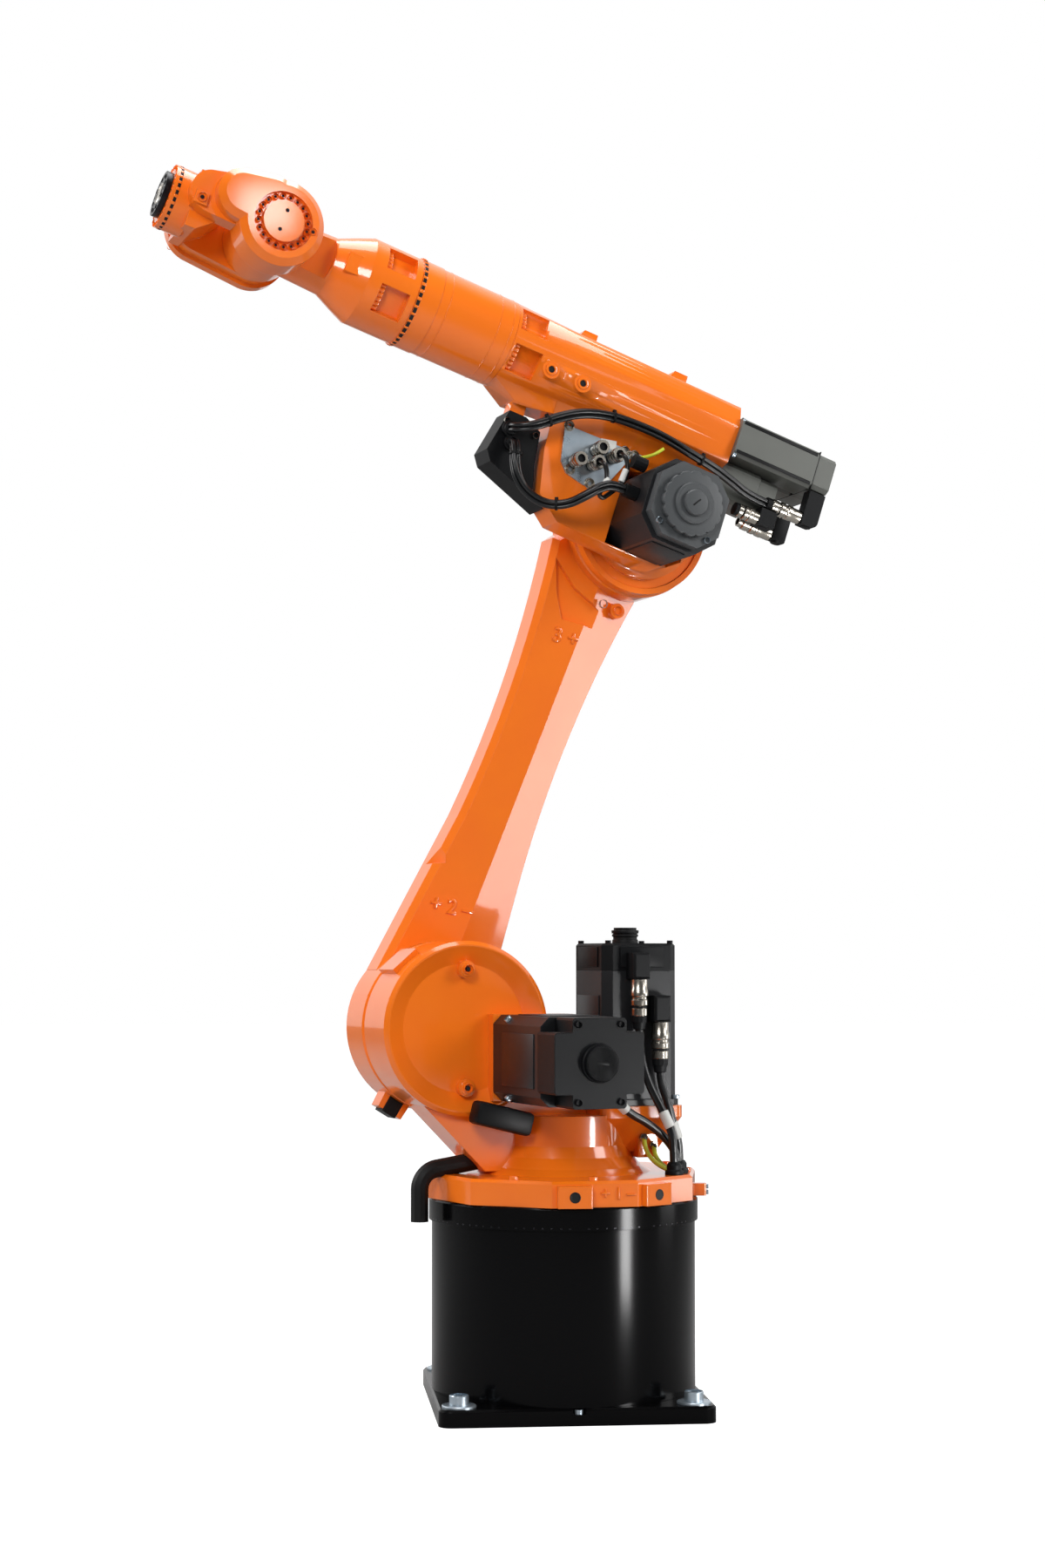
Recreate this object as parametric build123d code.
from build123d import *
import math
import os

# Six-axis robot arm on a round floor base, in millimetres.
# The origin is the middle of the base's underside, on the first axis.
# X points to the front of the base, Y to the side of the motors, Z up.

# Axis distances
SHOULDER_HEIGHT = 520
SHOULDER_OFFSET = 160
LINK_LENGTH = 780
ELBOW_OFFSET = 150
FOREARM_LENGTH = 655
WRIST_LENGTH = 153

# Pose at rest, in degrees
COLUMN_TURN = 16.4
LINK_LEAN = 22.5
FOREARM_PITCH = 18.1
WRIST_PITCH = 17.4

# Base
PLATE_SIDE = 370
PLATE_THICKNESS = 23
PLATE_CORNER = 18
PLATE_BEVEL = 3
FOOT_HOLE_RADIUS = 11
FOOT_HOLE_INSET = 28
EARTH_NOTCH_RADIUS = 9
EARTH_NOTCH_DEPTH = 8
DRUM_RADIUS = 183
DRUM_HEIGHT = 232
COLLAR_RADIUS = 187
COLLAR_HEIGHT = 30
COLLAR_BEVEL = 2
TURNTABLE_GAP = 0.5

# Turning column
FOOT_RADIUS = 191
FOOT_THICKNESS = 35
FOOT_BEVEL = 4
FOOT_SIDES = 10
FOOT_TURN = 26.5
STOP_BLOCK_ANGLE = 18.3
STOP_BLOCK_WIDTH = 46
STOP_BLOCK_REACH = 4
STOP_BLOCK_HEIGHT = 29
POINTER_ANGLE = 157.9
POINTER_WIDTH = 16
POINTER_REACH = 8
POINTER_HEIGHT = 17
CONE_BASE_RADIUS = 122
CONE_TOP_RADIUS = 90
CONE_HEIGHT = 38
FLARE_SHARES = ((1.0, 0.0), (0.55, 0.22), (0.2, 0.6), (0.0, 1.0))
NECK_TOP = 400

# Shoulder housing on the column, seen along the second axis
SHOULDER_RADIUS = 119
SHOULDER_NEAR = 46
SHOULDER_FAR = -45
SHOULDER_EDGE = 5
DISH_OUTER_RADIUS = 112
DISH_INNER_RADIUS = 88
DISH_DEPTH = 15
DISH_BOSS_RADIUS = 12
DISH_BOSS_HEIGHT = 13
DISH_BOSS_SPACING = 161
DISH_BOSS_HOLE = 3.5
WEB_NEAR = 30
LINK_FORWARD_LIMIT = 65
LINK_SIDE_CLEARANCE = 6
RIM_STOP_ANGLE = 49
RIM_STOP_WIDTH = 44
RIM_STOP_REACH = 6
RIM_STOP_NEAR = 20
WEB_FOOT_FRONT = 128

# First motor, standing on its saddle
MOTOR_SIDE = 112
MOTOR_CORNER = 12
COLUMN_MOTOR_X = -84
COLUMN_MOTOR_Y = 25
COLUMN_MOTOR_HEIGHT = 186
COLUMN_COVER_HEIGHT = 38
SADDLE_TOP = 412
SADDLE_THICKNESS = 16
SADDLE_MARGIN = 6
SADDLE_SUPPORT = 48
SADDLE_TAPER = 32
MOTOR_FOOT_THICKNESS = 9
CAP_RADIUS = 16
CAP_FLANGE_RADIUS = 19
CAP_HEIGHT = 22
CAP_LIP = 4

# Second motor, on the near side of the shoulder
SHOULDER_MOTOR_SIDE = 117
SHOULDER_MOTOR_X = 66
SHOULDER_MOTOR_Z = 480
SHOULDER_MOTOR_LENGTH = 168
SHOULDER_COVER_LENGTH = 58
SHOULDER_COVER_WIDTH = 126
SHOULDER_COVER_HEIGHT = 80
SHOULDER_EAR_WIDTH = 76
SHOULDER_PAD = 4
SHOULDER_CAP_RADIUS = 22

# Clearances
RUNNING_GAP = 0.5
SEAT_GAP = 0.3
MOVING_CLEARANCE = 6
OVERRUN = 20
ROUND_SIDES = 36

# Rubber outlet elbow at the front of the column
OUTLET_RADIUS = 12.5
OUTLET_START = 108
OUTLET_REACH = 212.5
OUTLET_RISE = 20
OUTLET_SAG = 16
OUTLET_BOTTOM = 257
OUTLET_BEND = 28
HOSE_SIDES = 10

# Link arm
LINK_FAR = -125
LINK_NEAR = -68
LINK_BOSS_RADIUS = 119
LINK_EDGE = 6
LINK_SLOPE_START = 15
LINK_SLOPE_WIDTH = 75
LINK_SLOPE_DEPTH = 37
LINK_FRONT_SHARES = ((0.05, 0.95), (0.37, 0.71), (0.60, 0.68), (0.917, 0.88))
LINK_BACK_SHARES = ((0.08, -0.58), (0.32, -0.37), (0.56, -0.285), (0.885, -0.48))
LINK_BEVEL = 9
RING_RADIUS = 104
RING_LIP_RADIUS = 102
RING_LIP = 14
RING_NEAR = -31
RING_BORE = 93
RING_FLOOR = -60
STOP_LUG_TURN = 9
STOP_LUG_WIDTH = 56
STOP_LUG_TIP = 38
STOP_LUG_REACH = 20
STOP_LUG_THICKNESS = 30
BUFFER_WIDTH = 22
BUFFER_STAND = 3
LINK_POCKET_SHARES = ((0.77, 0.882), (0.60, 0.823), (0.42, 0.782), (-0.04, 0.794), (-0.04, 0.829), (0.40, 0.846))
LINK_POCKET_DEPTH = 8
LINK_EYE_RADIUS = 11
LINK_EYE_NEAR = -76
LINK_EYE_SHARE = 0.847
LINK_EYE_INSET = 28

# Upper arm housing, seen along the third axis
HUB_GAP = 0.4
HUB_STEP_RADIUS = 80
HUB_STEP_NEAR = -34
HUB_CORE_RADIUS = 70
HOUSING_BACK = -68
HOUSING_FRONT = 295
HOUSING_RADIUS = 61
REAR_SECTION_SHARES = ((0.58, 0.77), (0.85, 0.23), (0.75, -0.66), (0.49, -0.76))
FRONT_SECTION_ANGLES = (52, 12, -38, -66)
BARREL_STEPS = 5
KEEL_SHARES = ((1.0, -0.9), (0.88, -1.24), (0.53, -1.12), (0.08, -0.76))
KEEL_HALF_WIDTH = 26
POCKET_ANGLE = 30
POCKET_WIDTH = 40
POCKET_LENGTH = 42
POCKET_FLOOR = 46
POCKET_RIM = 5
RELIEF_CLEARANCE = 6
NECK_NEAR = 28
NECK_POINT_SHARES = ((1.33, 0.75), (1.307, 0.18), (1.22, -0.24), (1.04, -0.333), (0.973, -0.433), (-0.40, 0.75))
ELBOW_MOTOR_SIDE = 118
ELBOW_MOTOR_X = 10
ELBOW_MOTOR_Z = -6
ELBOW_MOTOR_CORNER = 26
ELBOW_MOTOR_BACK = -20
ELBOW_MOTOR_FRONT = 133
ELBOW_COVER_LENGTH = 17
ELBOW_COVER_INSET = 5
ELBOW_DISC_RADIUS = 43
ELBOW_DISC_HEIGHT = 10
ELBOW_RING_RADIUS = 26
ELBOW_CAP_RADIUS = 17
ELBOW_CAP_HEIGHT = 10
LIFT_LUG_LENGTH = 28
LIFT_LUG_WIDTH = 30
LIFT_LUG_TOP = 65
LIFT_LUG_SLOPE = 7
LIFT_LUG_PLACES = (179, 31)
HOUSING_BOSS_RADIUS = 13
HOUSING_BOSS_NEAR = 58
HOUSING_BOSS_PLACES = (230, 180)
HOUSING_BOSS_DROP = 25
TUBE_RADIUS = 61.5
TUBE_STEP_RADIUS = 62.5
TUBE_STEP_LENGTH = 32
FOREARM_JOINT = 444

# Plate, hood and motors on the upper arm
PLATE_STOCK = 3
CONNECTOR_PLATE_SHARES = (
    (1.187, 0.467),
    (0.347, 0.487),
    (0.467, 0.42),
    (0.60, 0.12),
    (0.747, -0.007),
    (0.853, -0.007),
    (1.04, 0.033),
    (1.12, 0.12),
)
HOOD_NEAR = 20
HOOD_FAR = -31
HOOD_SHARES = (
    (1.373, 0.32),
    (1.547, 0.40),
    (1.72, 0.40),
    (1.82, -0.027),
    (1.753, -0.127),
    (1.12, -0.353),
    (1.267, -0.267),
    (1.333, 0.0),
)
HOOD_TAB_LENGTH = 22
HOOD_TAB_WIDTH = 24
HOOD_TAB_CENTRE = 245
REAR_MOTOR_SIDE = 57
REAR_MOTOR_LENGTH = 160
REAR_MOTOR_CORNER = 6
REAR_MOTOR_SPREAD = 29.5
REAR_MOTOR_RISE = -1
LOWER_MOTOR_LENGTH = 95
ENCODER_LENGTH = 30
ENCODER_INSET = 2
REAR_MOTOR_GAP = 2

# Forearm front casting, wrist and tool flange
FRONT_SHOULDER = 515
NECK_RADIUS = 37
NECK_HALF_WIDTH = 29
NECK_PROFILE_SHARES = ((0.84, 1.41), (0.66, 1.10), (0.0, 1.0))
NECK_SLOT_RADIUS = 92
FRONT_BOSS_SIDE = 28
FRONT_BOSS_CENTRE = 535
FRONT_BOSS_NEAR = 54
NOSE_BEVEL = 6
EYE_RADIUS = 50
EYE_HALF_WIDTH = 34
CHEEK_RADIUS = 58
CHEEK_NEAR = 90
CHEEK_FAR = -58
CHEEK_STEP = 62
CHEEK_FRONT = 96
CHEEK_FRONT_RISE = 9
CHEEK_FRONT_RADIUS = 29
CHEEK_REAR = 20
CHEEK_REAR_RISE = 18
CHEEK_REAR_RADIUS = 40
POD_FRONT = 60
POD_FRONT_RISE = 16
POD_FRONT_RADIUS = 34
POD_BEVEL = 9
POD_RECESS_RADIUS = 40
POD_RECESS_DEPTH = 5
ROOT_SHARES = ((1.36, 0.0), (1.73, 0.45), (2.27, 0.91), (2.6, 0.91))
ROOT_NEAR = 40
ROOT_FAR = -50
NOSE_RADIUS = 44
NOSE_START = 104
WRIST_PAD_SIDE = 18
WRIST_PAD_CENTRE = 108
WRIST_PAD_DROP = 6
WRIST_PAD_NEAR = 67
TOOL_FLANGE_RADIUS = 31.5
TOOL_FLANGE_THICKNESS = 8
TOOL_CENTRE_BORE = 15.75
TOOL_CENTRE_DEPTH = 6
TOOL_BOLT_CIRCLE_RADIUS = 25
TOOL_BOLT_HOLE = 3
TOOL_BOLT_COUNT = 8
WRIST_COVER_RADIUS = 28
WRIST_COVER_HEIGHT = 7
BELT_COVER_THICKNESS = 24
BELT_COVER_REAR_RADIUS = 49
BELT_COVER_FRONT_RADIUS = 43
BELT_COVER_FRONT = 80
BELT_COVER_DROP = 4
BELT_RIM = 5
BELT_COVER_BEVEL = 7

# Plugs and cables on the column
PLUG_SIDES = 12
PLUG_RADIUS = 11
PLUG_HEAD_WIDTH = 25
PLUG_HEAD_HEIGHT = 36
PLUG_HEAD_DEPTH = 27
PLUG_SLEEVE_LENGTH = 60
PLUG_AXIS_STAND = 16
COLUMN_PLUG_PLACES = ((11.5, 193), (-20, 134))
CABLE_RADIUS = 6
CABLE_SIDES = 5
EARTH_BLOCK_WIDTH = 30
EARTH_BLOCK_HEIGHT = 42
EARTH_BLOCK_X = -97
EARTH_BLOCK_NEAR = 72
EARTH_BLOCK_RISE = 20
BEND_SHARE = 0.45
UPPER_PLUG_ROUTE = (
    (-72.5, 97, 527),
    (-72.5, 97, 502),
    (-76, 99, 471),
    (-84, 106, 440),
    (-97, 116, 410),
    (-108, 126, 380),
    (-110, 128, 349),
    (-110, 128, 320.5),
)
LOWER_PLUG_ROUTE = (
    (-104, 97, 468),
    (-104, 97, 447),
    (-113, 100, 421),
    (-121, 100, 392),
    (-130, 99, 366),
    (-132, 99, 343),
    (-132, 99, 320.5),
)
SHOULDER_MOTOR_ROUTE = (
    (7.5, 110, 440),
    (-9, 110, 440),
    (-28, 110, 426),
    (-50, 110, 405),
    (-78, 110, 391),
    (-102, 110, 373),
    (-118, 111, 354),
    (-124, 112, 336),
    (-124, 112, 320.5),
)

# Plugs and cables on the upper arm
REAR_PLUG_RADIUS = 9.5
REAR_PLUG_Y = 42
REAR_PLUG_HEAD = 26
REAR_PLUG_LENGTH = 58
REAR_PLUG_DROP = 72
LOWER_PLUG_LENGTH = 38
LOWER_PLUG_HEIGHT = 25
ELBOW_PLUG_RADIUS = 10
ELBOW_PLUG_LENGTH = 20
ELBOW_PLUG_PLACES = ((95, 38), (95, -5))
SOCKET_RADIUS = 9
SOCKET_HEIGHT = 26
SOCKET_PLACES = ((150, 24), (123, 30), (124, 52), (97, 52))
BUNDLE_RADIUS = 6.5
UPPER_BUNDLE_ROUTE = (
    (251, 20, 34),
    (251, 33, 34),
    (247, 43, 34),
    (237, 51, 37),
    (222, 56, 46),
    (200, 58, 65),
    (172, 60, 83),
    (140, 62, 94),
    (107, 63, 99),
    (50, 62, 101),
    (-2, 61, 94),
    (-43, 58, 90),
    (-80, 49, 85),
    (-114, 42, 78),
    (-144, 42, 78),
)
LOWER_BUNDLE_ROUTE = (
    (243, 20, 16),
    (243, 34, 16),
    (241, 42, 5),
    (238, 44, -10),
    (228, 45, -32),
    (208, 46, -49),
    (178, 52, -56),
    (152, 66, -48),
    (136, 82, -31),
    (122, 92, -14),
    (107, 95, -5),
    (89, 95, -5),
)

# Frames of the links at rest
COLUMN = Rot(0, 0, COLUMN_TURN)
LINK = COLUMN * Pos(SHOULDER_OFFSET, 0, SHOULDER_HEIGHT) * Rot(0, -LINK_LEAN, 0)
ARM = LINK * Pos(0, 0, LINK_LENGTH) * Rot(0, LINK_LEAN - FOREARM_PITCH, 0)
WRIST = ARM * Pos(FOREARM_LENGTH, 0, ELBOW_OFFSET) * Rot(0, FOREARM_PITCH - WRIST_PITCH, 0)


def side_slab(sketch, near, far):
    """Extrude a side-view sketch across the arm, from y = near to y = far."""
    return Pos(0, near, 0) * extrude(Plane.XZ * sketch, near - far)


def along_y(radius, near, far, x=0, z=0):
    """A round bar across the arm."""
    return side_slab(Pos(x, z) * Circle(radius), near, far)


def along_x(radius, back, front, y=0, z=0):
    """A round bar along the arm."""
    return Pos(back, y, z) * extrude(Plane.YZ * Circle(radius), front - back)


def upright(radius, bottom, top, x=0, y=0):
    """A round bar that stands up."""
    return Pos(x, y, bottom) * extrude(Circle(radius), top - bottom)


def outline(points):
    """A face inside a closed polygon."""
    return make_face(Polyline(*points, close=True))


def many_sided(radius, near, far, x=0, z=0):
    """A small round piece across the arm, with flats too narrow to show."""
    return side_slab(Pos(x, z) * RegularPolygon(radius, ROUND_SIDES), near, far)


def motor_outline(side, corner):
    """Square cross-section of a motor with bevelled corners."""
    return chamfer(Rectangle(side, side).vertices(), corner)


def turned_y(profile, x=0, z=0):
    """A body turned about an axis across the arm, from (radius, y) points."""
    return Pos(x, 0, z) * revolve(outline(profile), Axis.Y)


def disc_y(radius, near, far, edge, x=0, z=0):
    """A round disc across the arm with bevelled rims."""
    profile = [
        (0, far),
        (radius - edge, far),
        (radius, far + edge),
        (radius, near - edge),
        (radius - edge, near),
        (0, near),
    ]
    return turned_y(profile, x, z)


def hull(circles, points=()):
    """The convex outline round some circles and points."""
    edges = []
    for x, z, radius in circles:
        edges += (Pos(x, z) * Circle(radius)).edges()
    if points:
        edges += outline(points).edges()
    return make_hull(edges)


def base_plate():
    """Square floor plate with rounded corners, four bolt holes and an earth notch."""
    half = PLATE_SIDE / 2
    plate = extrude(RectangleRounded(PLATE_SIDE, PLATE_SIDE, PLATE_CORNER), PLATE_THICKNESS)
    plate = chamfer(plate.faces().sort_by(Axis.Z)[-1].outer_wire().edges(), PLATE_BEVEL)
    place = half - FOOT_HOLE_INSET
    for x, y in ((place, place), (place, -place), (-place, place), (-place, -place)):
        plate -= upright(FOOT_HOLE_RADIUS, -OVERRUN, PLATE_THICKNESS + OVERRUN, x, y)
    notch_floor = PLATE_THICKNESS - EARTH_NOTCH_DEPTH
    plate -= upright(EARTH_NOTCH_RADIUS, notch_floor, PLATE_THICKNESS + OVERRUN, 0, half)
    return plate


def base_drum():
    """Round black pedestal."""
    return upright(DRUM_RADIUS, PLATE_THICKNESS, PLATE_THICKNESS + DRUM_HEIGHT)


def base_collar():
    """Bearing collar on the pedestal."""
    bottom = PLATE_THICKNESS + DRUM_HEIGHT
    collar = upright(COLLAR_RADIUS, bottom, bottom + COLLAR_HEIGHT)
    return chamfer(collar.faces().sort_by(Axis.Z)[-1].edges(), COLLAR_BEVEL)


FOOT_BOTTOM = PLATE_THICKNESS + DRUM_HEIGHT + COLLAR_HEIGHT + TURNTABLE_GAP
FOOT_TOP = FOOT_BOTTOM + FOOT_THICKNESS


def column_foot():
    """Turned foot of the column: a ten-sided flange that flares up into the neck."""
    flange = Rot(0, 0, FOOT_TURN) * extrude(RegularPolygon(FOOT_RADIUS, FOOT_SIDES), FOOT_THICKNESS)
    flange = chamfer(flange.faces().sort_by(Axis.Z)[-1].edges(), FOOT_BEVEL)
    flare = CONE_BASE_RADIUS - CONE_TOP_RADIUS
    profile = [(0, NECK_TOP), (0, FOOT_TOP - FOOT_BEVEL), (CONE_BASE_RADIUS, FOOT_TOP - FOOT_BEVEL)]
    for out, up in FLARE_SHARES:
        profile.append((CONE_TOP_RADIUS + flare * out, FOOT_TOP + CONE_HEIGHT * up))
    profile.append((CONE_TOP_RADIUS, NECK_TOP))
    return Pos(0, 0, FOOT_BOTTOM) * flange + revolve(Plane.XZ * outline(profile), Axis.Z)


def foot_block(angle, width, reach, height):
    """A block on the rim of the column's foot."""
    depth = reach + FOOT_THICKNESS
    block = Box(depth, width, height, align=(Align.MAX, Align.CENTER, Align.MIN))
    block = fillet(block.edges().filter_by(Axis.Z).group_by(Axis.X)[-1], reach / 3)
    return Rot(0, 0, angle) * Pos(FOOT_RADIUS + reach, 0, FOOT_BOTTOM) * block


LINK_LIMIT = Pos(SHOULDER_OFFSET, 0, SHOULDER_HEIGHT) * Rot(0, 90 + LINK_FORWARD_LIMIT, 0)


def link_sweep():
    """Room in the foot's far side for the link arm at the end of its forward travel."""
    front = [(LINK_BOSS_RADIUS * x, LINK_LENGTH * z) for z, x in LINK_FRONT_SHARES[:2]]
    width = LINK_BOSS_RADIUS / 2
    low, high = [(x + LINK_SIDE_CLEARANCE, z) for x, z in front]
    room = outline([(-width, low[1]), low, high, (-width, high[1])])
    return LINK_LIMIT * side_slab(room, LINK_NEAR + MOVING_CLEARANCE, 2 * LINK_FAR)


def hose(radius):
    """Rubber hose from the column's neck, over the foot and down, with flat sides."""
    start = FOOT_TOP + OUTLET_RISE
    corner = start - OUTLET_SAG
    path = FilletPolyline(
        (OUTLET_START, 0, start),
        (OUTLET_REACH, 0, corner),
        (OUTLET_REACH, 0, OUTLET_BOTTOM),
        radius=OUTLET_BEND,
    )
    end = Plane(origin=path @ 0, z_dir=path % 0)
    return sweep(end * RegularPolygon(radius, HOSE_SIDES), path=path)


def column_casting():
    """Foot, neck, motor saddle and shoulder housing in one casting."""
    body = column_foot()
    for side in (-1, 1):
        angle = 90 + side * STOP_BLOCK_ANGLE
        body += foot_block(angle, STOP_BLOCK_WIDTH, STOP_BLOCK_REACH, STOP_BLOCK_HEIGHT)
    body += foot_block(POINTER_ANGLE, POINTER_WIDTH, POINTER_REACH, POINTER_HEIGHT)
    body -= link_sweep()
    saddle_side = MOTOR_SIDE + 2 * SADDLE_MARGIN
    saddle = Pos(COLUMN_MOTOR_X, COLUMN_MOTOR_Y, 0) * RectangleRounded(saddle_side, saddle_side, MOTOR_CORNER)
    saddle = Pos(0, 0, SADDLE_TOP - SADDLE_THICKNESS) * saddle
    body += extrude(saddle, SADDLE_THICKNESS)
    body += extrude(saddle, -SADDLE_SUPPORT, taper=SADDLE_TAPER)
    earth = Box(
        EARTH_BLOCK_WIDTH,
        EARTH_BLOCK_NEAR - COLUMN_MOTOR_Y,
        EARTH_BLOCK_HEIGHT,
        align=(Align.CENTER, Align.MAX, Align.MIN),
    )
    body += Pos(EARTH_BLOCK_X, EARTH_BLOCK_NEAR, FOOT_TOP + EARTH_BLOCK_RISE) * earth
    foot_line = FOOT_TOP + FOOT_BEVEL
    web_back = COLUMN_MOTOR_X + MOTOR_SIDE / 2 + SADDLE_MARGIN + RUNNING_GAP
    web = hull(
        [(SHOULDER_OFFSET, SHOULDER_HEIGHT, SHOULDER_RADIUS - SHOULDER_EDGE)],
        [(WEB_FOOT_FRONT, foot_line), (web_back, foot_line), (web_back, SADDLE_TOP)],
    )
    body += side_slab(web, WEB_NEAR, SHOULDER_FAR + SHOULDER_EDGE)
    body += disc_y(SHOULDER_RADIUS, SHOULDER_NEAR, SHOULDER_FAR, SHOULDER_EDGE, SHOULDER_OFFSET, SHOULDER_HEIGHT)
    stop = Pos(SHOULDER_RADIUS, 0) * Rectangle(2 * RIM_STOP_REACH, RIM_STOP_WIDTH)
    stop = Pos(SHOULDER_OFFSET, SHOULDER_HEIGHT) * Rot(0, 0, RIM_STOP_ANGLE) * stop
    body += side_slab(stop, RIM_STOP_NEAR, SHOULDER_FAR + SHOULDER_EDGE)
    floor = SHOULDER_NEAR - DISH_DEPTH
    slant = (DISH_OUTER_RADIUS - DISH_INNER_RADIUS) / DISH_DEPTH
    dish = [
        (0, floor),
        (DISH_INNER_RADIUS, floor),
        (DISH_OUTER_RADIUS + slant * OVERRUN, SHOULDER_NEAR + OVERRUN),
        (0, SHOULDER_NEAR + OVERRUN),
    ]
    body -= turned_y(dish, SHOULDER_OFFSET, SHOULDER_HEIGHT)
    for side in (-1, 1):
        z = SHOULDER_HEIGHT + side * DISH_BOSS_SPACING / 2
        boss = along_y(DISH_BOSS_RADIUS, floor + DISH_BOSS_HEIGHT, floor - SHOULDER_EDGE, SHOULDER_OFFSET, z)
        body += boss
        body -= along_y(DISH_BOSS_HOLE, floor + DISH_BOSS_HEIGHT + OVERRUN, floor, SHOULDER_OFFSET, z)
    side = SHOULDER_MOTOR_SIDE + 2 * SEAT_GAP
    pad_near = SHOULDER_NEAR + SHOULDER_PAD
    pad = Pos(SHOULDER_MOTOR_X, SHOULDER_MOTOR_Z) * Rectangle(side, side)
    body += side_slab(pad, pad_near, 0)
    body -= side_slab(pad, pad_near + SHOULDER_MOTOR_LENGTH, pad_near)
    return body - hose(OUTLET_RADIUS + SEAT_GAP)


def column_motor():
    """Motor of the first axis, upright on the saddle."""
    foot = extrude(motor_outline(MOTOR_SIDE + SADDLE_MARGIN, MOTOR_CORNER), MOTOR_FOOT_THICKNESS)
    body = extrude(motor_outline(MOTOR_SIDE, MOTOR_CORNER), COLUMN_MOTOR_HEIGHT)
    return Pos(COLUMN_MOTOR_X, COLUMN_MOTOR_Y, SADDLE_TOP) * (foot + body)


def column_motor_cover():
    """Top cover of the first motor with its round plug."""
    cover = extrude(motor_outline(MOTOR_SIDE, MOTOR_CORNER), COLUMN_COVER_HEIGHT)
    cover = chamfer(cover.faces().sort_by(Axis.Z)[-1].edges(), PLATE_BEVEL)
    cap = RegularPolygon(CAP_RADIUS, ROUND_SIDES)
    lip = RegularPolygon(CAP_FLANGE_RADIUS, ROUND_SIDES)
    cover += Pos(0, 0, COLUMN_COVER_HEIGHT) * extrude(cap, CAP_HEIGHT)
    cover += Pos(0, 0, COLUMN_COVER_HEIGHT + CAP_HEIGHT - 2 * CAP_LIP) * extrude(lip, CAP_LIP)
    bottom = SADDLE_TOP + COLUMN_MOTOR_HEIGHT
    return Pos(COLUMN_MOTOR_X, COLUMN_MOTOR_Y, bottom) * cover


def shoulder_motor():
    """Motor of the second axis, square, lying across the arm."""
    near = SHOULDER_NEAR + SHOULDER_PAD + SHOULDER_MOTOR_LENGTH
    shape = motor_outline(SHOULDER_MOTOR_SIDE, MOTOR_CORNER)
    return side_slab(Pos(SHOULDER_MOTOR_X, SHOULDER_MOTOR_Z) * shape, near, SHOULDER_NEAR + SHOULDER_PAD)


def shoulder_motor_cover():
    """Cover of the second motor: a wide box with an ear above and below."""
    back = SHOULDER_NEAR + SHOULDER_PAD + SHOULDER_MOTOR_LENGTH
    near = back + SHOULDER_COVER_LENGTH
    wide = chamfer(Rectangle(SHOULDER_COVER_WIDTH, SHOULDER_COVER_HEIGHT).vertices(), PLATE_BEVEL)
    tall = chamfer(Rectangle(SHOULDER_EAR_WIDTH, SHOULDER_MOTOR_SIDE).vertices(), PLATE_BEVEL)
    cover = side_slab(Pos(SHOULDER_MOTOR_X, SHOULDER_MOTOR_Z) * (wide + tall), near, back)
    cap_near = near + CAP_HEIGHT / 2
    return cover + many_sided(SHOULDER_CAP_RADIUS, cap_near, near, SHOULDER_MOTOR_X, SHOULDER_MOTOR_Z)


PLUG_AXIS_Y = COLUMN_MOTOR_Y + MOTOR_SIDE / 2 + PLUG_AXIS_STAND


def column_motor_plug(x, rise):
    """A plug on the first motor: a square head on its side and a sleeve that points down."""
    near_face = COLUMN_MOTOR_Y + MOTOR_SIDE / 2
    head = Box(PLUG_HEAD_WIDTH, PLUG_HEAD_DEPTH, PLUG_HEAD_HEIGHT, align=(Align.CENTER, Align.MIN, Align.CENTER))
    head = chamfer(head.faces().sort_by(Axis.Y)[-1].edges(), PLATE_BEVEL)
    centre = SADDLE_TOP + rise
    bottom = centre - PLUG_HEAD_HEIGHT / 2
    sleeve = extrude(RegularPolygon(PLUG_RADIUS, PLUG_SIDES), -PLUG_SLEEVE_LENGTH)
    place = COLUMN_MOTOR_X + x
    return Pos(place, near_face, centre) * head + Pos(place, PLUG_AXIS_Y, bottom) * sleeve


def cord(route, radius):
    """A held cable: straight runs joined by wide arcs, with a few flat sides."""
    places = [Vector(*place) for place in route]
    runs = [after - before for before, after in zip(places, places[1:])]
    bends = []
    for first, second in zip(runs, runs[1:]):
        half_turn = math.radians(first.get_angle(second) / 2)
        bends.append(BEND_SHARE * min(first.length, second.length) / math.tan(half_turn))
    print("bend radii", [round(bend) for bend in bends])
    path = FilletPolyline(*route, radius=bends)
    start = Plane(origin=path @ 0, z_dir=path % 0)
    return sweep(start * RegularPolygon(radius, CABLE_SIDES), path=path)


def waist(shares):
    """One long side of the link arm: a straight run, then a shallow arc."""
    low, bend, middle, high = [(LINK_BOSS_RADIUS * x, LINK_LENGTH * z) for z, x in shares]
    return [Line(low, bend), ThreePointArc(bend, middle, high)]


def link_shank():
    """Waisted outline between the two ends of the link arm."""
    front = waist(LINK_FRONT_SHARES)
    back = waist(LINK_BACK_SHARES)
    low = LINK_BOSS_RADIUS / 2
    high = LINK_LENGTH
    top = Polyline(front[-1] @ 1, (low, high), (-low, high), back[-1] @ 1)
    bottom = Polyline(back[0] @ 0, (-low, 0), (low, 0), front[0] @ 0)
    return make_face([*front, top, *back, bottom])


def stop_lug(width, tip, far_reach, near, far):
    """A wedge that stands out from the rim of the link arm's lower boss."""
    reach = LINK_BOSS_RADIUS + far_reach
    points = [(-width / 2, 0), (-tip / 2, -reach), (tip / 2, -reach), (width / 2, 0)]
    return side_slab(Rot(0, 0, STOP_LUG_TURN) * outline(points), near, far)


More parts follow.
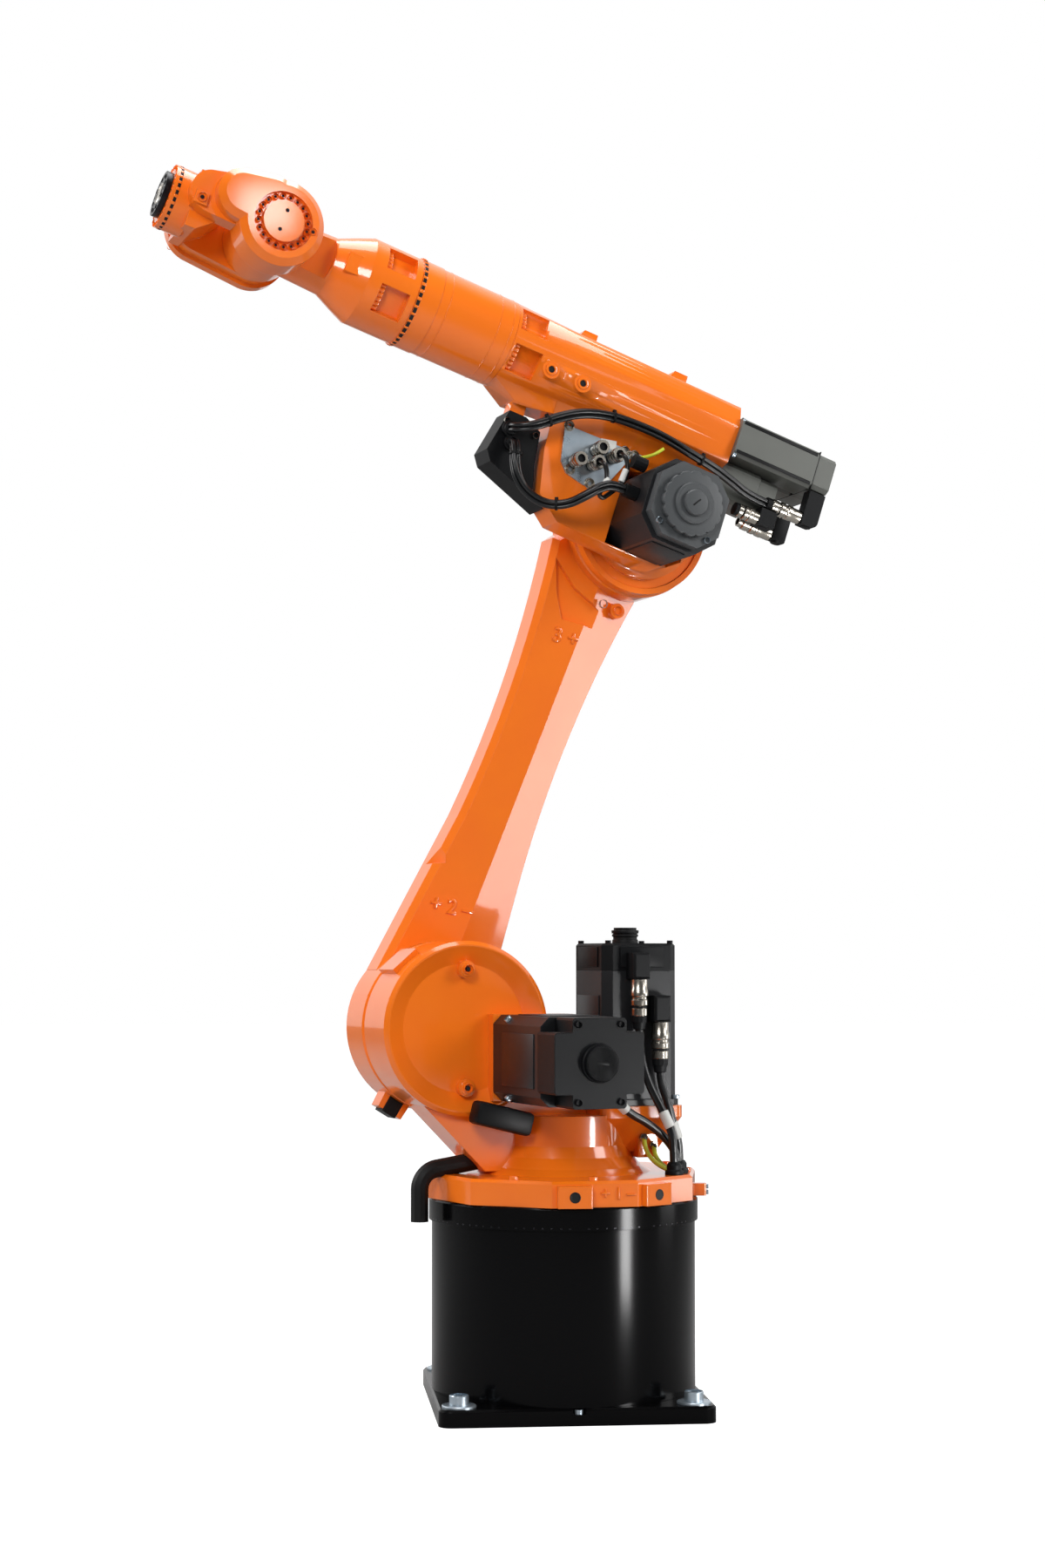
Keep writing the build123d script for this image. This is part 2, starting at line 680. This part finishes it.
def link_arm():
    """Cast link arm with its lower boss, upper ring and stop lug."""
    arm = side_slab(link_shank(), LINK_NEAR, LINK_FAR + LINK_EDGE)
    rim = arm.faces().sort_by(Axis.Y)[-1].edges()
    arm = chamfer(rim.filter_by(lambda edge: edge.center().X > LINK_BOSS_RADIUS / 2), LINK_BEVEL)
    slope = [
        (LINK_SLOPE_START, LINK_NEAR),
        (LINK_SLOPE_START - LINK_SLOPE_WIDTH, LINK_NEAR - LINK_SLOPE_DEPTH),
        (LINK_SLOPE_START - LINK_SLOPE_WIDTH, LINK_NEAR + LINK_SLOPE_DEPTH),
        (LINK_SLOPE_START, LINK_NEAR + LINK_SLOPE_DEPTH),
    ]
    arm -= extrude(outline(slope), LINK_LENGTH)
    pocket = [(LINK_BOSS_RADIUS * x, LINK_LENGTH * z) for x, z in LINK_POCKET_SHARES]
    arm -= side_slab(outline(pocket), LINK_NEAR + OVERRUN, LINK_NEAR - LINK_POCKET_DEPTH)
    arm += along_y(LINK_EYE_RADIUS, LINK_EYE_NEAR, LINK_FAR + OVERRUN, -LINK_EYE_INSET, LINK_LENGTH * LINK_EYE_SHARE)
    lug_far = LINK_NEAR - STOP_LUG_THICKNESS
    arm += stop_lug(STOP_LUG_WIDTH, STOP_LUG_TIP, STOP_LUG_REACH, LINK_NEAR, lug_far)
    slot = BUFFER_WIDTH + 2 * SEAT_GAP
    arm -= stop_lug(slot, slot, STOP_LUG_REACH + OVERRUN, LINK_NEAR + OVERRUN, lug_far - OVERRUN)
    arm += disc_y(LINK_BOSS_RADIUS, SHOULDER_FAR - RUNNING_GAP, LINK_FAR, LINK_EDGE)
    arm += disc_y(RING_RADIUS, RING_NEAR - RING_LIP, LINK_FAR, LINK_EDGE, 0, LINK_LENGTH)
    arm += along_y(RING_LIP_RADIUS - RUNNING_GAP, RING_NEAR, LINK_NEAR, 0, LINK_LENGTH)
    arm -= along_y(RING_BORE, RING_NEAR + OVERRUN, RING_FLOOR, 0, LINK_LENGTH)
    room = upright(COLLAR_RADIUS + MOVING_CLEARANCE, 0, FOOT_BOTTOM + MOVING_CLEARANCE)
    return arm - LINK_LIMIT.inverse() * room


def stop_buffer():
    """Rubber buffer in the slot of the stop lug."""
    far = LINK_NEAR - STOP_LUG_THICKNESS
    block = stop_lug(BUFFER_WIDTH, BUFFER_WIDTH, STOP_LUG_REACH + BUFFER_STAND, LINK_NEAR, far)
    return block - along_y(LINK_BOSS_RADIUS + SEAT_GAP, LINK_NEAR + OVERRUN, far - OVERRUN)


def steps(start, end):
    """A number spread evenly from a start towards an end, without the end."""
    return [start + (end - start) * step / BARREL_STEPS for step in range(BARREL_STEPS)]


def polygon_section(x, shares):
    """An outline of the housing across the arm, from shares of its radius for one half."""
    half = [(HOUSING_RADIUS * y, HOUSING_RADIUS * z) for y, z in shares]
    corners = half + [(-y, z) for y, z in reversed(half)]
    points = []
    for start, end in zip(corners, corners[1:] + corners[:1]):
        points += zip(steps(start[0], end[0]), steps(start[1], end[1]))
    return Pos(x, 0, ELBOW_OFFSET) * (Plane.YZ * outline(points))


def round_section(x, angles):
    """A circle across the arm in short flats, as many between the corners as the polygon has."""
    turns = list(angles) + [-180 - angle for angle in reversed(angles)] + [angles[0] - 360]
    points = []
    for start, end in zip(turns, turns[1:]):
        for turn in steps(math.radians(start), math.radians(end)):
            points.append((HOUSING_RADIUS * math.cos(turn), HOUSING_RADIUS * math.sin(turn)))
    return Pos(x, 0, ELBOW_OFFSET) * (Plane.YZ * outline(points))


def bolt_pockets(front):
    """Four pockets behind a round flange, for the bolts that hold it."""
    tools = []
    for side in (90, -90):
        for turn in (POCKET_ANGLE, -POCKET_ANGLE):
            box = Box(POCKET_LENGTH, POCKET_WIDTH, TUBE_RADIUS, align=(Align.MAX, Align.CENTER, Align.MIN))
            tools.append(Pos(front, 0, ELBOW_OFFSET) * Rot(side + turn, 0, 0) * Pos(0, 0, POCKET_FLOOR) * box)
    return tools


def lift_lug(x):
    """A lifting lug on top of the housing, sloped at the front."""
    back = x - LIFT_LUG_LENGTH / 2
    front = x + LIFT_LUG_LENGTH / 2
    top = ELBOW_OFFSET + LIFT_LUG_TOP
    points = [
        (back, ELBOW_OFFSET),
        (back, top),
        (front - LIFT_LUG_SLOPE, top),
        (front, top - 2 * LIFT_LUG_SLOPE),
        (front, ELBOW_OFFSET),
    ]
    return side_slab(outline(points), LIFT_LUG_WIDTH / 2, -LIFT_LUG_WIDTH / 2)


def arm_housing():
    """Cast housing of the upper arm: a barrel that turns from eight-sided to round, neck and hub."""
    back = polygon_section(HOUSING_BACK, REAR_SECTION_SHARES)
    front = round_section(HOUSING_FRONT, FRONT_SECTION_ANGLES)
    barrel = loft([back, front], ruled=True)
    keel = [(HOUSING_FRONT, ELBOW_OFFSET), (0, ELBOW_OFFSET)]
    keel += [(HOUSING_FRONT * x, ELBOW_OFFSET + HOUSING_RADIUS * z) for x, z in reversed(KEEL_SHARES)]
    barrel += side_slab(outline(keel), KEEL_HALF_WIDTH, -KEEL_HALF_WIDTH)
    relief = RING_RADIUS + RELIEF_CLEARANCE
    web_far = RING_NEAR + MOVING_CLEARANCE
    neck_points = [(ELBOW_OFFSET * x, ELBOW_OFFSET * z) for x, z in NECK_POINT_SHARES]
    neck = hull([(0, 0, HUB_CORE_RADIUS)], neck_points)
    barrel += side_slab(neck, NECK_NEAR, web_far)
    tab_bottom = ELBOW_OFFSET * HOOD_SHARES[1][1] + SEAT_GAP
    tab = Box(HOOD_TAB_LENGTH, HOOD_TAB_WIDTH, ELBOW_OFFSET - tab_bottom, align=(Align.CENTER, Align.CENTER, Align.MIN))
    barrel += Pos(HOOD_TAB_CENTRE, 0, tab_bottom) * tab
    barrel -= along_y(relief, web_far, 2 * LINK_FAR)
    hub = along_y(RING_BORE - HUB_GAP, HUB_STEP_NEAR, RING_FLOOR + SEAT_GAP)
    hub += along_y(HUB_STEP_RADIUS, web_far, HUB_STEP_NEAR)
    barrel += hub
    pocket_side = ELBOW_MOTOR_SIDE + 2 * SEAT_GAP
    pocket = Pos(ELBOW_MOTOR_X, ELBOW_MOTOR_Z) * Rectangle(pocket_side, pocket_side)
    barrel -= side_slab(pocket, NECK_NEAR + OVERRUN, ELBOW_MOTOR_BACK)
    for x in LIFT_LUG_PLACES:
        barrel += lift_lug(x)
    for x in HOUSING_BOSS_PLACES:
        barrel += along_y(HOUSING_BOSS_RADIUS, HOUSING_BOSS_NEAR, 0, x, ELBOW_OFFSET - HOUSING_BOSS_DROP)
    return barrel - bolt_pockets(HOUSING_FRONT - POCKET_RIM)


def forearm_tube():
    """Round tube on the front of the housing."""
    step = FOREARM_JOINT - RUNNING_GAP - TUBE_STEP_LENGTH
    tube = along_x(TUBE_RADIUS, HOUSING_FRONT, step, 0, ELBOW_OFFSET)
    return tube + along_x(TUBE_STEP_RADIUS, step, step + TUBE_STEP_LENGTH, 0, ELBOW_OFFSET)


def elbow_motor():
    """Motor of the third axis, with bevelled corners."""
    shape = motor_outline(ELBOW_MOTOR_SIDE, ELBOW_MOTOR_CORNER)
    return side_slab(Pos(ELBOW_MOTOR_X, ELBOW_MOTOR_Z) * shape, ELBOW_MOTOR_FRONT, ELBOW_MOTOR_BACK)


def elbow_motor_cover():
    """End cover of the third motor with its disc, ring and plug."""
    shape = motor_outline(ELBOW_MOTOR_SIDE - 2 * ELBOW_COVER_INSET, ELBOW_MOTOR_CORNER)
    front = ELBOW_MOTOR_FRONT + ELBOW_COVER_LENGTH
    cover = side_slab(shape, front, ELBOW_MOTOR_FRONT)
    disc = front + ELBOW_DISC_HEIGHT
    cover += many_sided(ELBOW_DISC_RADIUS, disc, front)
    cover += many_sided(ELBOW_RING_RADIUS, disc + ELBOW_CAP_HEIGHT / 2, disc)
    cover += many_sided(ELBOW_CAP_RADIUS, disc + ELBOW_CAP_HEIGHT, disc)
    return Pos(ELBOW_MOTOR_X, 0, ELBOW_MOTOR_Z) * cover


def elbow_plug(y, z):
    """A plug in the front side of the third motor."""
    face = ELBOW_MOTOR_X + ELBOW_MOTOR_SIDE / 2
    shape = Plane.YZ * RegularPolygon(ELBOW_PLUG_RADIUS, PLUG_SIDES)
    return Pos(face, y, z) * extrude(shape, ELBOW_PLUG_LENGTH)


def connector_plate():
    """Zinc plate for the plugs, under the barrel."""
    points = [(ELBOW_OFFSET * x, ELBOW_OFFSET * z) for x, z in CONNECTOR_PLATE_SHARES]
    return side_slab(outline(points), NECK_NEAR + PLATE_STOCK, NECK_NEAR)


def plate_socket(x, z):
    """A round socket on the connector plate."""
    shape = Pos(x, z) * RegularPolygon(SOCKET_RADIUS, PLUG_SIDES)
    return side_slab(shape, NECK_NEAR + PLATE_STOCK + SOCKET_HEIGHT, NECK_NEAR + PLATE_STOCK)


def cable_hood():
    """Black hood in front of the neck that holds the cable loop."""
    points = [(ELBOW_OFFSET * x, ELBOW_OFFSET * z) for x, z in HOOD_SHARES]
    return side_slab(outline(points), HOOD_NEAR, HOOD_FAR)


REAR_HIGH = ELBOW_OFFSET + REAR_MOTOR_RISE
REAR_LOW = REAR_HIGH - REAR_MOTOR_SIDE - REAR_MOTOR_GAP


def rear_motor(y, z, length):
    """One of the three wrist motors behind the housing, with its end cover."""
    shape = motor_outline(REAR_MOTOR_SIDE, REAR_MOTOR_CORNER)
    cover = motor_outline(REAR_MOTOR_SIDE - 2 * ENCODER_INSET, REAR_MOTOR_CORNER)
    body = extrude(Plane.YZ * shape, ENCODER_LENGTH - length)
    body += Pos(ENCODER_LENGTH - length, 0, 0) * extrude(Plane.YZ * cover, -ENCODER_LENGTH)
    return Pos(HOUSING_BACK, y, z) * body


def rear_plug():
    """Plug under the near wrist motor: a sleeve from the front and a head that turns up."""
    end = HOUSING_BACK - REAR_MOTOR_LENGTH
    top = REAR_HIGH - REAR_MOTOR_SIDE / 2 - SEAT_GAP
    z = ELBOW_OFFSET - REAR_PLUG_DROP
    height = top - z + REAR_PLUG_RADIUS
    head = Box(REAR_PLUG_HEAD, 2 * REAR_PLUG_RADIUS, height, align=(Align.MIN, Align.CENTER, Align.MAX))
    head = fillet(head.edges().filter_by(Axis.Y).sort_by(Axis.Z)[0], REAR_PLUG_RADIUS)
    sleeve = extrude(Plane.YZ * RegularPolygon(REAR_PLUG_RADIUS, PLUG_SIDES), REAR_PLUG_LENGTH)
    return Pos(end, REAR_PLUG_Y, top) * head + Pos(end + REAR_PLUG_HEAD, REAR_PLUG_Y, z) * sleeve


def lower_rear_plug():
    """Plug on the near side of the lower wrist motor's end cover."""
    near = REAR_MOTOR_SIDE / 2 - ENCODER_INSET + SEAT_GAP
    end = HOUSING_BACK - LOWER_MOTOR_LENGTH
    width = REAR_PLUG_Y + REAR_PLUG_RADIUS - near
    z = REAR_LOW - REAR_MOTOR_SIDE / 2 - REAR_PLUG_RADIUS
    head = Box(REAR_PLUG_HEAD, width, LOWER_PLUG_HEIGHT, align=(Align.MIN, Align.MIN, Align.MIN))
    sleeve = extrude(Plane.YZ * RegularPolygon(REAR_PLUG_RADIUS, PLUG_SIDES), LOWER_PLUG_LENGTH)
    return Pos(end, near, z - REAR_PLUG_RADIUS) * head + Pos(end + REAR_PLUG_HEAD, REAR_PLUG_Y, z) * sleeve


def forearm_front():
    """Casting in front of the fourth axis: flange with bolt pockets, shoulder, neck and eye."""
    points = [(FOREARM_JOINT, 0), (FOREARM_JOINT, TUBE_RADIUS), (FRONT_SHOULDER, TUBE_RADIUS)]
    for back, radius in NECK_PROFILE_SHARES:
        points.append((FOREARM_LENGTH - (FOREARM_LENGTH - FRONT_SHOULDER) * back, NECK_RADIUS * radius))
    points.append((FOREARM_LENGTH, 0))
    body = Pos(0, 0, ELBOW_OFFSET) * revolve(Plane.XZ * outline(points), Axis.X)
    body -= bolt_pockets(FOREARM_JOINT + 2 * POCKET_RIM + POCKET_LENGTH)
    boss = Pos(FRONT_BOSS_CENTRE, ELBOW_OFFSET) * Rectangle(FRONT_BOSS_SIDE, FRONT_BOSS_SIDE)
    body += side_slab(boss, FRONT_BOSS_NEAR, 0)
    slot = Pos(FOREARM_LENGTH, ELBOW_OFFSET) * Circle(NECK_SLOT_RADIUS)
    body -= side_slab(slot, TUBE_RADIUS, NECK_HALF_WIDTH)
    body -= side_slab(slot, -NECK_HALF_WIDTH, -TUBE_RADIUS)
    return body + along_y(EYE_RADIUS, EYE_HALF_WIDTH, -EYE_HALF_WIDTH, FOREARM_LENGTH, ELBOW_OFFSET)


def wrist_head():
    """Forked casting that tilts on the fifth axis: two cheeks, the motor pod and the nose."""
    gap = EYE_HALF_WIDTH + RUNNING_GAP
    rear = (CHEEK_REAR, CHEEK_REAR_RISE, CHEEK_REAR_RADIUS)
    head = side_slab(hull([rear, (CHEEK_FRONT, CHEEK_FRONT_RISE, CHEEK_FRONT_RADIUS)]), CHEEK_STEP, gap)
    head += along_y(CHEEK_RADIUS, CHEEK_STEP, gap)
    pod = side_slab(hull([rear, (POD_FRONT, POD_FRONT_RISE, POD_FRONT_RADIUS)]), CHEEK_NEAR, gap)
    round_pod = along_y(CHEEK_RADIUS, CHEEK_NEAR, gap)
    for piece in (pod, round_pod):
        head += chamfer(piece.faces().sort_by(Axis.Y)[-1].edges(), POD_BEVEL)
    recess_floor = CHEEK_NEAR - POD_RECESS_DEPTH
    head -= along_y(POD_RECESS_RADIUS, CHEEK_NEAR + OVERRUN, recess_floor)
    head += side_slab(belt_outline(BELT_RIM), -gap, CHEEK_FAR)
    low = [(NOSE_RADIUS * x, -NOSE_RADIUS * z) for x, z in ROOT_SHARES]
    high = [(x, -z) for x, z in reversed(low[1:])]
    head += side_slab(outline(low + high), ROOT_NEAR, ROOT_FAR)
    pad = Pos(WRIST_PAD_CENTRE, -WRIST_PAD_DROP) * Rectangle(WRIST_PAD_SIDE, WRIST_PAD_SIDE)
    head += side_slab(pad, WRIST_PAD_NEAR, gap)
    nose = along_x(NOSE_RADIUS, NOSE_START, WRIST_LENGTH - TOOL_FLANGE_THICKNESS - RUNNING_GAP)
    return head + chamfer(nose.faces().sort_by(Axis.X)[0].edges(), NOSE_BEVEL)


def wrist_cover():
    """Round cover of the fifth axis, in the recess of the pod."""
    back = CHEEK_NEAR - POD_RECESS_DEPTH
    return many_sided(WRIST_COVER_RADIUS, back + WRIST_COVER_HEIGHT, back)


def belt_outline(rim):
    """Side view of the belt drive: two pulleys and what lies between, less a rim."""
    return hull([
        (0, -BELT_COVER_DROP, BELT_COVER_REAR_RADIUS - rim),
        (BELT_COVER_FRONT, -BELT_COVER_DROP, BELT_COVER_FRONT_RADIUS - rim),
    ])


def belt_cover():
    """Flat cover of the belt drive on the far side of the wrist."""
    cover = side_slab(belt_outline(0), CHEEK_FAR, CHEEK_FAR - BELT_COVER_THICKNESS)
    return chamfer(cover.faces().sort_by(Axis.Y)[0].edges(), BELT_COVER_BEVEL)


def tool_flange():
    """Round flange that the tool bolts to."""
    back = WRIST_LENGTH - TOOL_FLANGE_THICKNESS
    flange = along_x(TOOL_FLANGE_RADIUS, back, WRIST_LENGTH)
    flange -= along_x(TOOL_CENTRE_BORE, WRIST_LENGTH - TOOL_CENTRE_DEPTH, WRIST_LENGTH + OVERRUN)
    for index in range(TOOL_BOLT_COUNT):
        angle = math.radians(360 * index / TOOL_BOLT_COUNT)
        y = TOOL_BOLT_CIRCLE_RADIUS * math.cos(angle)
        z = TOOL_BOLT_CIRCLE_RADIUS * math.sin(angle)
        flange -= along_x(TOOL_BOLT_HOLE, back - OVERRUN, WRIST_LENGTH + OVERRUN, y, z)
    return flange


PARTS = {
    "base_plate": base_plate(),
    "base_drum": base_drum(),
    "base_collar": base_collar(),
    "column_casting": COLUMN * column_casting(),
    "column_motor": COLUMN * column_motor(),
    "column_motor_cover": COLUMN * column_motor_cover(),
    "shoulder_motor": COLUMN * shoulder_motor(),
    "shoulder_motor_cover": COLUMN * shoulder_motor_cover(),
    "outlet_elbow": COLUMN * hose(OUTLET_RADIUS),
    "link_arm": LINK * link_arm(),
    "stop_buffer": LINK * stop_buffer(),
    "arm_housing": ARM * arm_housing(),
    "forearm_tube": ARM * forearm_tube(),
    "elbow_motor": ARM * elbow_motor(),
    "elbow_motor_cover": ARM * elbow_motor_cover(),
    "connector_plate": ARM * connector_plate(),
    "cable_hood": ARM * cable_hood(),
    "near_wrist_motor": ARM * rear_motor(REAR_MOTOR_SPREAD, REAR_HIGH, REAR_MOTOR_LENGTH),
    "far_wrist_motor": ARM * rear_motor(-REAR_MOTOR_SPREAD, REAR_HIGH, REAR_MOTOR_LENGTH),
    "lower_wrist_motor": ARM * rear_motor(0, REAR_LOW, LOWER_MOTOR_LENGTH),
    "rear_plug": ARM * rear_plug(),
    "lower_rear_plug": ARM * lower_rear_plug(),
    "upper_cable_bundle": ARM * cord(UPPER_BUNDLE_ROUTE, BUNDLE_RADIUS),
    "lower_cable_bundle": ARM * cord(LOWER_BUNDLE_ROUTE, BUNDLE_RADIUS),
    "forearm_front": ARM * forearm_front(),
    "wrist_head": WRIST * wrist_head(),
    "wrist_cover": WRIST * wrist_cover(),
    "belt_cover": WRIST * belt_cover(),
    "tool_flange": WRIST * tool_flange(),
    "upper_plug_cable": COLUMN * cord(UPPER_PLUG_ROUTE, CABLE_RADIUS),
    "lower_plug_cable": COLUMN * cord(LOWER_PLUG_ROUTE, CABLE_RADIUS),
    "shoulder_motor_cable": COLUMN * cord(SHOULDER_MOTOR_ROUTE, CABLE_RADIUS),
}
for side, place in zip(("upper", "lower"), COLUMN_PLUG_PLACES):
    PARTS[f"{side}_motor_plug"] = COLUMN * column_motor_plug(*place)
for side, place in zip(("upper", "lower"), ELBOW_PLUG_PLACES):
    PARTS[f"{side}_elbow_plug"] = ARM * elbow_plug(*place)
for number, place in enumerate(SOCKET_PLACES, 1):
    PARTS[f"plate_socket_{number}"] = ARM * plate_socket(*place)

os.makedirs("parts", exist_ok=True)
for name, solid in PARTS.items():
    export_step(solid, f"parts/{name}.step")
    print(name, len(solid.solids()), round(solid.volume))
